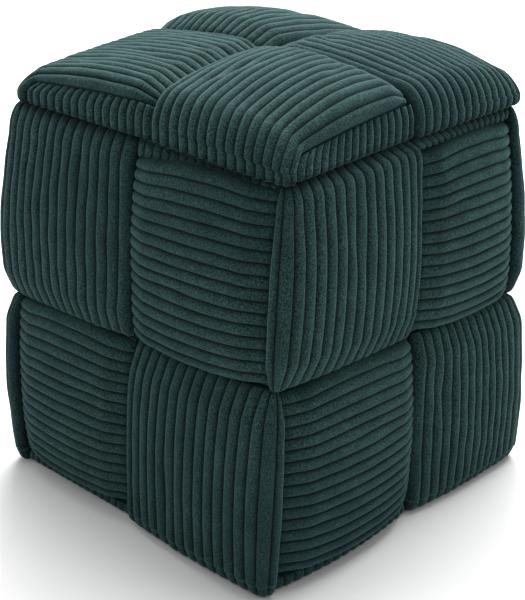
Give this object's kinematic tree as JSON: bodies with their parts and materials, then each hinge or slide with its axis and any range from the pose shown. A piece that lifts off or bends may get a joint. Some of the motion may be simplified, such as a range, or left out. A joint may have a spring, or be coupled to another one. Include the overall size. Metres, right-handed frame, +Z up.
{
  "type": "cube pouf stool",
  "caption": "Soft cube pouf stool woven from wide padded bands of ribbed cloth, with a thick seat pad on top.",
  "frame": {"origin": "middle of the base, on the surface the stool stands on", "axes": "+Z up, the front face looks along -Y and the right face along +X"},
  "size_m": [0.404, 0.4009, 0.4457],
  "materials": {
    "ribbed_cloth": "dark teal green wide-wale corduroy with a short soft pile",
    "inner_cloth": "plain dark cloth, hidden by the bands"
  },
  "bodies": {
    "root": {"level_band_lower_0": "ribbed_cloth", "level_band_lower_1": "ribbed_cloth", "level_band_lower_2": "ribbed_cloth", "level_band_lower_3": "ribbed_cloth", "level_band_upper_0": "ribbed_cloth", "level_band_upper_1": "ribbed_cloth", "level_band_upper_2": "ribbed_cloth", "level_band_upper_3": "ribbed_cloth", "seat_band_0": "ribbed_cloth", "seat_band_1": "ribbed_cloth", "seat_band_2": "ribbed_cloth", "seat_band_3": "ribbed_cloth", "upright_band_0a": "ribbed_cloth", "upright_band_0b": "ribbed_cloth", "upright_band_1a": "ribbed_cloth", "upright_band_1b": "ribbed_cloth", "upright_band_2a": "ribbed_cloth", "upright_band_2b": "ribbed_cloth", "upright_band_3a": "ribbed_cloth", "upright_band_3b": "ribbed_cloth", "body_cushion": "inner_cloth", "seat_cushion": "inner_cloth"}
  },
  "joints": []
}
